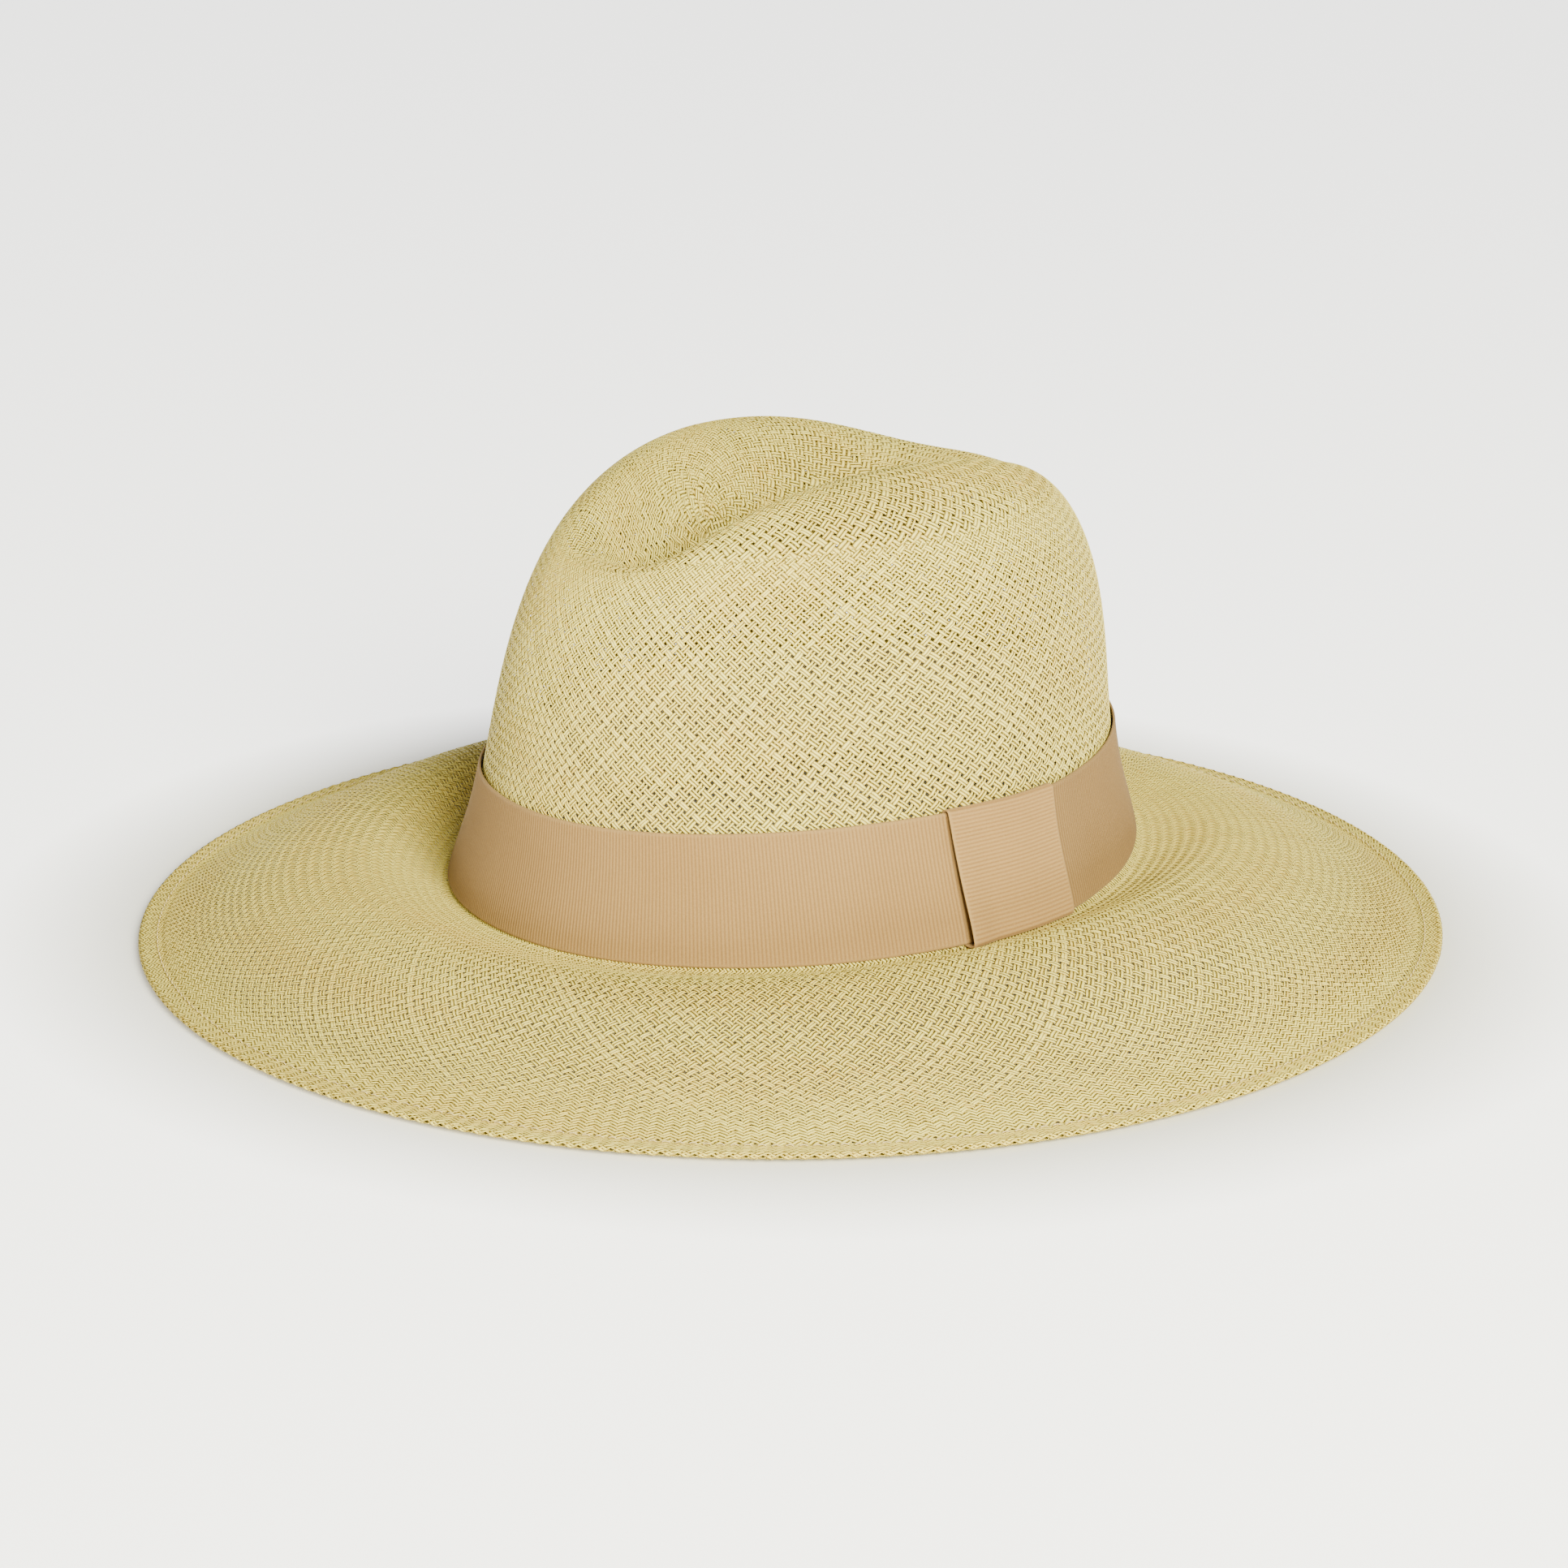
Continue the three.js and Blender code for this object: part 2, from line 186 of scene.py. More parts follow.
class Skin:
    """The hat's middle surface, as a table of points by angle and by a mark. The mark runs from the crown's
    middle (0) over its shoulder (1) and down to its base (2), then out over the brim to where the rim begins
    (3), and round the rim's fold to the end of its turned-under layer (4)."""

    ANGLES = 720
    STEPS = 200         # samples between two marks
    SHOULDER = 0.8      # the shoulder's reach, as a share of the crown's own
    ROUNDED = (12, 18)  # samples on each side of the brim's corner that are rounded
    ROUNDING_PASSES = 24

    def __init__(self, inset):
        angle = np.arange(self.ANGLES)[:, None] * TURN / self.ANGLES
        ease = np.linspace(0, 1, self.STEPS + 1)[None, :]
        shoulder_share = reach_at(angle, self.SHOULDER)
        reach = self.SHOULDER * ease
        top = crown_point(angle, reach_at(angle, reach), reach)
        wall = wall_point(angle, shoulder_share * (1 - ease) * CROWN_HEIGHT)
        brim = brim_point(angle, RIM_START * ease)
        parts = [self.even(top), self.even(wall)[:, 1:], self.even(brim)[:, 1:]]
        points = np.concatenate(parts, 1)
        points = self.soften(points, 2 * self.STEPS)
        points = np.concatenate([points, self.rim(angle, points[:, -1:])], 1)
        around = np.roll(points, -1, 0) - np.roll(points, 1, 0)
        along = np.gradient(points, axis=1)
        normal = np.cross(around, along)
        length = np.linalg.norm(normal, axis=2, keepdims=True)
        normal = -normal / np.maximum(length, 1e-12)
        normal[:, 0] = (0, 0, 1)
        self.normals = normal
        self.points = points + normal * inset

    def even(self, points):
        """Spaces each meridian's points evenly along it."""
        steps = np.linalg.norm(np.diff(points, axis=1), axis=2)
        run = np.concatenate([np.zeros((len(points), 1)), np.cumsum(steps, 1)], 1)
        wanted = np.linspace(0, 1, points.shape[1])
        rows = []
        for line, at in zip(points, run):
            rows.append(np.stack([np.interp(wanted * at[-1], at, line[:, i]) for i in range(3)], 1))
        return np.array(rows)

    def soften(self, points, corner):
        """Rounds the corner between the crown's wall and the brim."""
        low, high = corner - self.ROUNDED[0], corner + self.ROUNDED[1]
        for _ in range(self.ROUNDING_PASSES):
            middle = points[:, low:high]
            middle = 0.5 * middle + 0.25 * (points[:, low - 1 : high - 1] + points[:, low + 1 : high + 1])
            points[:, low:high] = middle
        return points

    def rim(self, angle, start):
        """From the last brim point out to the edge, round it, and back underneath."""
        half = (RIM_THICKNESS - RIM_LAYER) / 2
        inner = RIM_WIDTH - half
        run = inner + math.pi * half
        total = run + inner
        at = np.linspace(0, total, self.STEPS + 1)[None, 1:]
        turn = np.clip((at - inner) / half, 0, math.pi)
        bent = np.where(at > run, inner - (at - run), inner + half * np.sin(turn))
        out = np.where(at < inner, at, bent)
        drop = half * (1 - np.cos(turn))
        edge = np.concatenate([np.cos(angle), np.sin(angle)], 1)[:, None, :]
        place = start[:, :, :2] + edge * out[..., None]
        height = start[:, :, 2] - drop
        return np.concatenate([place, height[..., None]], 2)

    def sample(self, table, angle, mark):
        column = (angle % TURN) / TURN * self.ANGLES
        row = np.clip(mark * self.STEPS, 0, table.shape[1] - 1.001)
        i, j = np.floor(column).astype(int), np.floor(row).astype(int)
        u, v = (column - i)[..., None], (row - j)[..., None]
        i, k = i % self.ANGLES, (i + 1) % self.ANGLES
        low = table[i, j] * (1 - u) + table[k, j] * u
        high = table[i, j + 1] * (1 - u) + table[k, j + 1] * u
        return low * (1 - v) + high * v

    def point(self, angle, mark):
        return self.sample(self.points, angle, mark)

    def normal(self, angle, mark):
        found = self.sample(self.normals, angle, mark)
        return found / np.linalg.norm(found, axis=-1, keepdims=True)

    def girth(self, mark):
        """Length round the hat at a mark."""
        angle = np.arange(self.ANGLES) * TURN / self.ANGLES
        points = self.point(angle, np.full(self.ANGLES, mark))
        return np.linalg.norm(points - np.roll(points, 1, 0), axis=1).sum()

    def steps(self):
        """Mean length along the hat of each of the table's steps."""
        return np.linalg.norm(np.diff(self.points, axis=1), axis=2).mean(0)


FIELD_WAVES = 14
FIELD_SCALE = 5     # brings the sum of the waves to about -1 to 1


def field(waves, rows, seed):
    """A smooth random pattern over angle and mark, about -1 to 1."""
    draw = np.random.default_rng(seed)
    around = draw.integers(1, waves, FIELD_WAVES) * draw.choice([-1, 1], FIELD_WAVES)
    along = draw.uniform(0.2, 1, FIELD_WAVES) * rows * TURN
    phase = draw.uniform(0, TURN, FIELD_WAVES)

    def value(angle, mark):
        total = 0
        for n, m, p in zip(around, along, phase):
            total = total + np.cos(n * angle + m * mark + p)
        return total / FIELD_SCALE

    return value


# ---- meshes ----


def add_object(name, points, faces, material, uvs, colours=None):
    """A smooth mesh object of quads. uvs is one row per face corner, and colours one per point."""
    mesh = bpy.data.meshes.new(name)
    points = np.asarray(points, dtype=np.float32)
    faces = np.asarray(faces, dtype=np.int32)
    mesh.vertices.add(len(points))
    mesh.vertices.foreach_set("co", points.ravel())
    mesh.loops.add(faces.size)
    mesh.loops.foreach_set("vertex_index", faces.ravel())
    mesh.polygons.add(len(faces))
    mesh.polygons.foreach_set("loop_start", np.arange(0, faces.size, 4, dtype=np.int32))
    mesh.update(calc_edges=True)
    mesh.polygons.foreach_set("use_smooth", np.full(len(faces), True))
    layer = mesh.uv_layers.new(name="OFBake")
    layer.data.foreach_set("uv", np.asarray(uvs, dtype=np.float32).ravel())
    if colours is not None:
        # The tint attribute holds each point's own colour together with its painted shade and sheen.
        layer = mesh.color_attributes.new("tint_and_painted_light", "FLOAT_COLOR", "POINT")
        values = np.concatenate([colours, np.ones((len(colours), 1))], 1)
        layer.data.foreach_set("color", values.astype(np.float32).ravel())
    mesh.materials.append(material)
    made = bpy.data.objects.new(name, mesh)
    bpy.context.collection.objects.link(made)
    return made


def strands(centre, normal, width, thickness, colour, sides=4, edge=(1, 1, 1)):
    """Flat straws or round threads. centre, normal and colour are straws x samples x 3, and width is
    straws x samples. edge is the painted shade on the two sides of a straw, beside its face."""
    count, samples = centre.shape[:2]
    tangent = np.gradient(centre, axis=1)
    tangent /= np.linalg.norm(tangent, axis=2, keepdims=True)
    side = np.cross(normal, tangent)
    side /= np.linalg.norm(side, axis=2, keepdims=True)
    up = np.cross(tangent, side)
    turn = TURN * np.arange(sides) / sides
    across = np.cos(turn)[None, None, :, None] * side[:, :, None] * (width / 2)[:, :, None, None]
    lift = np.sin(turn)[None, None, :, None] * up[:, :, None] * (thickness / 2)
    points = (centre[:, :, None] + across + lift).reshape(-1, 3)
    base = (np.arange(count) * samples * sides)[:, None, None]
    j = (np.arange(samples - 1) * sides)[None, :, None]
    q = np.arange(sides)[None, None, :]
    after = (q + 1) % sides
    quads = np.stack([base + j + q, base + j + after, base + j + sides + after, base + j + sides + q], -1)
    row = (np.arange(count)[:, None, None, None] + 0 * quads) / count
    step = 0.9 / (count * sides)
    v = row + (q[..., None] + np.array([0, 1, 1, 0])) * step
    u = (j[..., None] // sides + np.array([0, 0, 1, 1]) + 0 * quads) / (samples - 1)
    faces = [quads.reshape(-1, 4)]
    uvs = [np.stack([u, v], -1).reshape(-1, 4, 2)]
    for first, order in ((0, -1), ((samples - 1) * sides, 1)):
        for low in range(0, sides - 2, 2):
            corner = np.array([0, low + 1, low + 2, (low + 3) % sides])[::order]
            faces.append(base.reshape(-1, 1) + first + corner[None, :])
            flat = np.full((count, 4, 2), first / (samples * sides))
            flat[:, :, 1] = (np.arange(count) / count)[:, None]
            uvs.append(flat)
    # Painted shade: the sides of each straw are darkened by edge.
    shade = mix(np.array(edge), 1, np.abs(np.sin(turn))[:, None])
    tints = (colour.reshape(-1, 1, 3) * shade).reshape(-1, 3)
    return points, np.concatenate(faces), np.concatenate(uvs), tints


def join(parts):
    """Batches of strands as one mesh, each with its own band of the UV square."""
    offset, share, total = 0, 0, sum(len(part[0]) for part in parts)
    points, faces, uvs, tints = [], [], [], []
    for part in parts:
        size = len(part[0]) / total
        points.append(part[0])
        faces.append(part[1] + offset)
        uvs.append(part[2] * (1, size) + (0, share))
        tints.append(part[3])
        offset, share = offset + len(part[0]), share + size
    return [np.concatenate(found) for found in (points, faces, uvs, tints)]


def grid(points, wrap_rows=True, wrap_columns=True):
    """Faces and UVs of a rows x columns grid of points, closed in the directions asked for."""
    rows, columns = points.shape[:2]
    i = np.arange(rows if wrap_rows else rows - 1)[:, None]
    j = np.arange(columns if wrap_columns else columns - 1)[None, :]
    k, m = (i + 1) % rows, (j + 1) % columns
    faces = np.stack([i * columns + j, i * columns + m, k * columns + m, k * columns + j], -1)
    u = np.stack([j + 0 * i, j + 1 + 0 * i, j + 1 + 0 * i, j + 0 * i], -1) / columns
    v = np.stack([i + 0 * j, i + 0 * j, i + 1 + 0 * j, i + 1 + 0 * j], -1) / rows
    return faces.reshape(-1, 4), np.stack([u, v], -1).reshape(-1, 4, 2)


# ---- materials ----


def new_material(name, colour, roughness, specular=0.35):
    material = bpy.data.materials.new(name)
    material.use_nodes = True
    nodes, links = material.node_tree.nodes, material.node_tree.links
    shader = nodes["Principled BSDF"]
    shader.inputs["Base Color"].default_value = (*colour, 1)
    shader.inputs["Roughness"].default_value = roughness
    shader.inputs["Specular IOR Level"].default_value = specular
    return material, nodes, links, shader


def noise(nodes, links, scale, detail, vector, roughness=0.55):
    made = nodes.new("ShaderNodeTexNoise")
    made.inputs["Scale"].default_value = scale
    made.inputs["Detail"].default_value = detail
    made.inputs["Roughness"].default_value = roughness
    links.new(vector, made.inputs["Vector"])
    return made


def stretched(nodes, links, vector, scale):
    made = nodes.new("ShaderNodeMapping")
    made.inputs["Scale"].default_value = scale
    links.new(vector, made.inputs["Vector"])
    return made.outputs["Vector"]


def ramp(nodes, links, value, low, high, start=0.0, end=1.0):
    made = nodes.new("ShaderNodeValToRGB")
    made.color_ramp.elements[0].position = start
    made.color_ramp.elements[1].position = end
    made.color_ramp.elements[0].color = (*low, 1)
    made.color_ramp.elements[1].color = (*high, 1)
    links.new(value, made.inputs["Fac"])
    return made.outputs["Color"]


def multiply(nodes, links, first, second, factor=1.0):
    made = nodes.new("ShaderNodeMix")
    made.data_type = "RGBA"
    made.blend_type = "MULTIPLY"
    made.inputs["Factor"].default_value = factor
    links.new(first, made.inputs["A"])
    links.new(second, made.inputs["B"])
    return made.outputs["Result"]


def bump(nodes, links, shader, height, strength, distance):
    made = nodes.new("ShaderNodeBump")
    made.inputs["Strength"].default_value = strength
    made.inputs["Distance"].default_value = distance
    links.new(height, made.inputs["Height"])
    links.new(made.outputs["Normal"], shader.inputs["Normal"])


def tint_and_light_node(nodes):
    made = nodes.new("ShaderNodeVertexColor")
    made.layer_name = "tint_and_painted_light"
    return made.outputs["Color"]


def straw_material():
    """Dried palm straw: its own tint for each straw, with painted shade on its sides and where it passes
    under, fibres along it, and a satin surface.
    """
    material, nodes, links, shader = new_material("straw", (0.8, 0.7, 0.4), 0.5, 0.2)
    place = nodes.new("ShaderNodeUVMap")
    place.uv_map = "OFBake"
    fibre = noise(nodes, links, 1.0, 3, stretched(nodes, links, place.outputs["UV"], (60, 4000, 1)))
    shade = ramp(nodes, links, fibre.outputs["Fac"], (0.9, 0.88, 0.83), (1, 1, 1), 0.3, 0.65)
    links.new(multiply(nodes, links, tint_and_light_node(nodes), shade), shader.inputs["Base Color"])
    links.new(ramp(nodes, links, fibre.outputs["Fac"], (0.58,) * 3, (0.42,) * 3, 0.3, 0.7),
              shader.inputs["Roughness"])
    bump(nodes, links, shader, fibre.outputs["Fac"], 0.25, 0.05 * MM)
    return material


def cloth_material(name, colour, thread, roughness=0.85, painted_light=False):
    """Woven cloth with a fine thread pattern over the piece's own ribs, which may carry painted shade and
    sheen.
    """
    material, nodes, links, shader = new_material(name, colour, roughness, 0.15)
    shader.inputs["Sheen Weight"].default_value = 0.08
    shader.inputs["Sheen Roughness"].default_value = 0.4
    place = nodes.new("ShaderNodeTexCoord")
    fine = noise(nodes, links, 1.0, 2, stretched(nodes, links, place.outputs["Object"], (1 / thread,) * 3))
    broad = noise(nodes, links, 28.0, 3, place.outputs["Object"])
    low = tuple(value * 0.86 for value in colour)
    high = tuple(min(1, value * 1.07) for value in colour)
    base = ramp(nodes, links, fine.outputs["Fac"], low, high, 0.3, 0.7)
    wear = ramp(nodes, links, broad.outputs["Fac"], (0.93, 0.91, 0.88), (1, 1, 1), 0.3, 0.7)
    worn = multiply(nodes, links, base, wear)
    if painted_light:
        worn = multiply(nodes, links, worn, tint_and_light_node(nodes))
    links.new(worn, shader.inputs["Base Color"])
    bump(nodes, links, shader, fine.outputs["Fac"], 0.35, 0.08 * MM)
    return material


def thread_material():
    material, nodes, links, shader = new_material("thread", (0.66, 0.52, 0.24), 0.75, 0.15)
    place = nodes.new("ShaderNodeTexCoord")
    twist = nodes.new("ShaderNodeTexWave")
    twist.bands_direction = "DIAGONAL"
    twist.inputs["Scale"].default_value = 900
    links.new(place.outputs["Object"], twist.inputs["Vector"])
    base = ramp(nodes, links, twist.outputs["Fac"], (0.55, 0.42, 0.18), (0.72, 0.59, 0.28))
    links.new(base, shader.inputs["Base Color"])
    bump(nodes, links, shader, twist.outputs["Fac"], 0.3, 0.05 * MM)
    return material


def reed_material():
    material, nodes, links, shader = new_material("reed", (0.75, 0.7, 0.58), 0.35, 0.5)
    place = nodes.new("ShaderNodeTexCoord")
    cloud = noise(nodes, links, 220, 2, place.outputs["Object"])
    base = ramp(nodes, links, cloud.outputs["Fac"], (0.68, 0.62, 0.49), (0.8, 0.76, 0.65), 0.3, 0.7)
    links.new(base, shader.inputs["Base Color"])
    return material


def wire_material():
    material, nodes, links, shader = new_material("wire", (0.5, 0.5, 0.48), 0.35, 0.5)
    shader.inputs["Metallic"].default_value = 1
    place = nodes.new("ShaderNodeTexCoord")
    drawn = noise(nodes, links, 400, 2, place.outputs["Object"])
    links.new(ramp(nodes, links, drawn.outputs["Fac"], (0.25,) * 3, (0.5,) * 3), shader.inputs["Roughness"])
    base = ramp(nodes, links, drawn.outputs["Fac"], (0.42, 0.42, 0.4), (0.6, 0.6, 0.58), 0.3, 0.7)
    links.new(base, shader.inputs["Base Color"])
    return material


STRAW = straw_material()
RIBBON = cloth_material("ribbon", (0.327, 0.203, 0.077), 0.35 * MM, painted_light=True)
SWEATBAND = cloth_material("sweatband", (0.74, 0.66, 0.5), 0.5 * MM, 0.8)
TAPE = cloth_material("seam_tape", (0.66, 0.56, 0.4), 0.4 * MM)
THREAD = thread_material()
REED = reed_material()
WIRE = wire_material()


def place_piece(made, slot, *nodes):
    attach(made, "root")
    if nodes:
        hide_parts(*nodes)
    return made


# ---- the woven straw ----

STRAW_LIFT = 0.13 * MM      # how far a strand rises and sinks at a crossing
STRAW_DEPTH = 0.13 * MM
STRAND_FLAT = 0.3           # half of a strand's level stretch at a crossing, in rows
STRAW_SHARE = 0.96          # of a straw's half of the strand, the rest being the gap beside it
RIM_LIFT = 0.25             # share of the lift left in the folded rim
RIM_ZONE = 2.94             # mark where the rim's close weave begins
RIM_EASE = 0.04
WANDER = 0.02               # slow sway of a strand, as a share of the pitch
WANDER_RATE = 0.35
JITTER = 0.025              # of each crossing, as a share of the pitch
WIDTH_SPREAD = 0.03
PAIR_SPREAD = 0.06          # how unlike the two straws of a pair are
ROSETTE = (-0.21, -0.24)    # middle of the weave, in marks from the middle of the crown
SKIN_DEPTH = 0.45           # of the strands' middle, as a share of the CAD straw's thickness
skin = Skin(-SKIN_DEPTH * STRAW_THICKNESS)
spread = field(9, 7, 11)
fine_spread = field(40, 30, 12)
patch = field(7, 3, 13)

PALE = np.array([0.89, 0.79, 0.205])
WARM = np.array([0.80, 0.52, 0.1])
GREEN = np.array([0.78, 0.76, 0.18])
EDGE_SHADE = (0.52, 0.44, 0.30)      # painted shade on a straw's sides beside its face, as in the gaps between straws
UNDER_SHADE = (0.78, 0.73, 0.58)     # painted shade on a straw where it passes under the others
LIGHT_SPREAD = 0.025                # from straw to straw
WARM_SHARE, WARM_SPREAD = 0.1, 0.05
WARM_PATCHES = 0.14
WARM_RUNS = 0.14                    # warmth that comes and goes along a straw
WARM_STRAWS = 0.06                  # share of straws that are much warmer in places
MUCH_WARMER = 0.3
GREEN_RUNS = 0.25
RUNS = (20, 70)                     # range of how often a straw's colour changes, in radians for each mark


def straw_colours(angle, mark, draw):
    """A tint for each sample of each straw: pale, with warm or greenish straws here and there."""
    count = angle.shape[0]
    light = 1 + LIGHT_SPREAD * draw.standard_normal((count, 1))
    run = np.cos(mark * draw.uniform(*RUNS, (count, 1)) + draw.uniform(0, TURN, (count, 1)))
    warm = WARM_SHARE + WARM_SPREAD * draw.standard_normal((count, 1)) + WARM_PATCHES * patch(angle, mark)
    warm = np.clip(warm + WARM_RUNS * draw.random((count, 1)) * run, 0, 0.5)
    much = (draw.random((count, 1)) < WARM_STRAWS) * np.maximum(0, run)
    warm = np.clip(warm + MUCH_WARMER * much, 0, 0.8)
    green = GREEN_RUNS * draw.random((count, 1)) * (1 + run) / 2
    colour = mix(PALE, WARM, warm[..., None])
    colour = mix(colour, GREEN, green[..., None])
    return colour * light[..., None]


def row_marks(start, stop, row_height):
    """Marks of the crossing rows from one mark to another, row_height(mark) apart."""
    lengths = skin.steps()
    edges = np.arange(len(lengths) + 1) / skin.STEPS
    heights = np.array([row_height(mark) for mark in (edges[1:] + edges[:-1]) / 2])
    rows = np.concatenate([[0], np.cumsum(lengths / heights)])
    first, last = np.interp([start, stop], edges, rows)
    count = max(2, round(last - first) + 1)
    return np.interp(np.linspace(first, last, count), rows, edges)


def recentre(angle, mark):
    """Moves the middle of the weave off the middle of the crown, and leaves the crown's shoulder as it is."""
    ease = np.maximum(0, 1 - mark**2) ** 2
    x = mark * np.cos(angle) + ROSETTE[0] * ease
    y = mark * np.sin(angle) + ROSETTE[1] * ease
    return np.arctan2(y, x), np.hypot(x, y)


def on_skin(angle, mark):
    angle, mark = recentre(angle, mark)
    return skin.point(angle, mark), skin.normal(angle, mark)


def weave(count, marks, way, chosen, cover, draw, tuck=0.0):
    """Pairs of straws that cross count others. way is 1 or -1 for the two spirals, and chosen lists the
    strands. tuck sinks their outer ends under the next ring."""
    rows = len(marks)
    level = np.repeat(np.arange(rows), 2) + np.tile([-STRAND_FLAT, STRAND_FLAT], rows)
    level = np.clip(level, 0, rows - 1)
    over = np.where(np.repeat(np.arange(rows), 2) % 2 == 0, way, -way)
    mark = np.interp(level, np.arange(rows), marks)
    strand = np.asarray(chosen)[:, None]
    angle = TURN / count * (strand + way * level[None, :] / 2)
    mark = mark + 0 * angle
    stray = WANDER * np.cos(WANDER_RATE * level[None, :] + draw.uniform(0, TURN, (len(chosen), 1)))
    angle = angle + TURN / count * (stray + JITTER * draw.standard_normal(angle.shape))
    point, normal = on_skin(angle, mark)
    beside = on_skin(angle + TURN / count, mark)[0] - point
    tangent = np.gradient(point, axis=1)
    tangent /= np.linalg.norm(tangent, axis=2, keepdims=True)
    apart = np.linalg.norm(beside - (beside * tangent).sum(2, keepdims=True) * tangent, axis=2)
    width = apart * np.clip(cover(angle, mark) + WIDTH_SPREAD * draw.standard_normal(angle.shape), 0.6, 1.0)
    side = np.cross(normal, tangent)
    sink = tuck * (level > rows - 1.8)
    lift = STRAW_LIFT * mix(1, RIM_LIFT, smooth((mark - RIM_ZONE) / RIM_EASE))
    height = lift * over - sink
    centre = point + normal * height[..., None]
    batches = []
    for hand in (-1, 1):
        share = 0.5 + PAIR_SPREAD * hand * draw.standard_normal((len(chosen), 1))
        straw = width * share
        shift = hand * (width - straw) / 2
        colour = straw_colours(angle, mark, draw)
        # Painted shade: a straw is darker where it passes under the others.
        colour = colour * mix(np.array(UNDER_SHADE), 1, (over > 0)[:, None])
        middle = centre + side * shift[..., None]
        batches.append(strands(middle, normal, STRAW_SHARE * straw, STRAW_DEPTH, colour, edge=EDGE_SHADE))
    return batches


# Cover: the share of the pitch that a strand fills, which leaves the weave's holes
CROWN_COVER, BRIM_COVER = 0.77, 0.79
CROWN_CLOSING, BRIM_CLOSING = 0.13, 0.24        # extra, at the shoulder, the band and the rim
CROWN_UNEVEN, BRIM_UNEVEN = 0.03, 0.035
TOP_EXTRA = 0.07
FAR_EXTRA = 0.1
OPEN_SIDE = math.radians(-47)       # the crown is closer woven across from here, the front left


def crown_cover(angle, mark):
    closed = bell((mark - 1.02) / 0.07) + smooth((mark - 1.8) / 0.15)
    top = TOP_EXTRA * smooth((0.95 - mark) / 0.2)
    far = FAR_EXTRA * smooth((0.1 - np.cos(angle - OPEN_SIDE)) / 0.5)
    uneven = CROWN_UNEVEN * (spread(angle, mark) + fine_spread(angle, mark))
    return CROWN_COVER + top + far + CROWN_CLOSING * closed + uneven


def brim_cover(angle, mark):
    closed = smooth((mark - 2.86) / 0.1) + 0.6 * smooth((2.1 - mark) / 0.1)
    uneven = BRIM_UNEVEN * (spread(angle, mark) + fine_spread(angle, mark))
    return BRIM_COVER + BRIM_CLOSING * closed + uneven


def straw_piece(name, parts):
    points, faces, uvs, tints = join(parts)
    made = add_object(name, points, faces, STRAW, uvs, tints)
    return place_piece(made, "straw", "straw_body")


def split(count, groups):
    return np.array_split(np.arange(count), groups)


CROWN_STRANDS = 160
BRIM_STRANDS = 275
TOP_RINGS = [160, 118, 86, 61, 44, 31, 22, 16, 11, 8]
FINEST_PITCH = 2.6 * MM
TOP_TUCK = 0.35 * MM        # how far each ring's last row sinks under the next ring
WALL_END = 1.985            # mark where the wall's strands end, behind the ribbon
WALL_ROW = 0.92             # height of the wall's rows, as a share of a square crossing's
BRIM_START, BRIM_END = 1.965, 3.98
ROSETTE_STRANDS = 9
ROSETTE_PITCH = 1.25 * MM
ROSETTE_HALF = 6 * MM
ROSETTE_WIDTH = 1.12 * MM
ROSETTE_DEPTH = 0.3 * MM    # how far it lies under the first ring
ROSETTE_LIFT = 0.09 * MM
MARK_WIDTH, MARK_LENGTH = 61 * MM, 78 * MM      # one mark across and along the crown, near its middle


def top_marks():
    """Where each ring of the crown's top begins: as far out as its strands have room."""
    marks = np.linspace(0.002, 1.3, 600)
    girths = np.array([skin.girth(mark) for mark in marks])
    return [float(np.interp(count * FINEST_PITCH, girths, marks)) for count in TOP_RINGS]


def build_top(draw):
    starts = top_marks()
    ways = {1: [], -1: []}
    for index in range(1, len(TOP_RINGS)):
        count = TOP_RINGS[index]
        marks = row_marks(starts[index], starts[index - 1], lambda mark: skin.girth(mark) / count / 2)
        step = marks[-1] - marks[-2]
        marks = np.append(marks, marks[-1] + step)
        for way in ways:
            ways[way] += weave(count, marks, way, np.arange(count), crown_cover, draw, TOP_TUCK)
    straw_piece("straw_crown_top_a", ways[1])
    straw_piece("straw_crown_top_b", ways[-1])
    return starts[0]


def build_rosette(draw):
    """The square of straws that the weave grows from, under the first ring."""
    number = np.arange(ROSETTE_STRANDS)[:, None]
    along = np.linspace(-ROSETTE_HALF, ROSETTE_HALF, 2 * ROSETTE_STRANDS)[None, :]
    across = (number - (ROSETTE_STRANDS - 1) / 2) * ROSETTE_PITCH
    parts = []
    for way in (0, 1):
        x, y = (along + 0 * across, across + 0 * along)[:: 1 if way == 0 else -1]
        u, v = x / MARK_WIDTH, y / MARK_LENGTH
        angle, mark = np.arctan2(v, u), np.hypot(u, v)
        point, normal = on_skin(angle, mark)
        weaving = np.cos(math.pi * (along / ROSETTE_PITCH + number + way))
        centre = point + normal * (ROSETTE_LIFT * weaving - ROSETTE_DEPTH)[..., None]
        colour = straw_colours(angle, mark, draw)
        width = np.full(x.shape, ROSETTE_WIDTH)
        parts.append(strands(centre, normal, width, STRAW_DEPTH, colour, edge=EDGE_SHADE))
    straw_piece("straw_rosette", parts)


def build_wall(start, draw):
    marks = row_marks(start, WALL_END, lambda mark: WALL_ROW * skin.girth(mark) / CROWN_STRANDS / 2)
    for way, letter in ((1, "a"), (-1, "b")):
        for number, chosen in enumerate(split(CROWN_STRANDS, 3), 1):
            parts = weave(CROWN_STRANDS, marks, way, chosen, crown_cover, draw)
            straw_piece(f"straw_crown_{letter}{number}", parts)


def brim_row(mark):
    """Height of a crossing row: the strands climb steeply near the crown and lie flatter towards the rim."""
    near_crown = mix(1.5 * MM, 1.75 * MM, smooth((mark - 2) / 0.4))
    return mix(near_crown, 0.95 * MM, smooth((mark - 2.5) / 0.42))


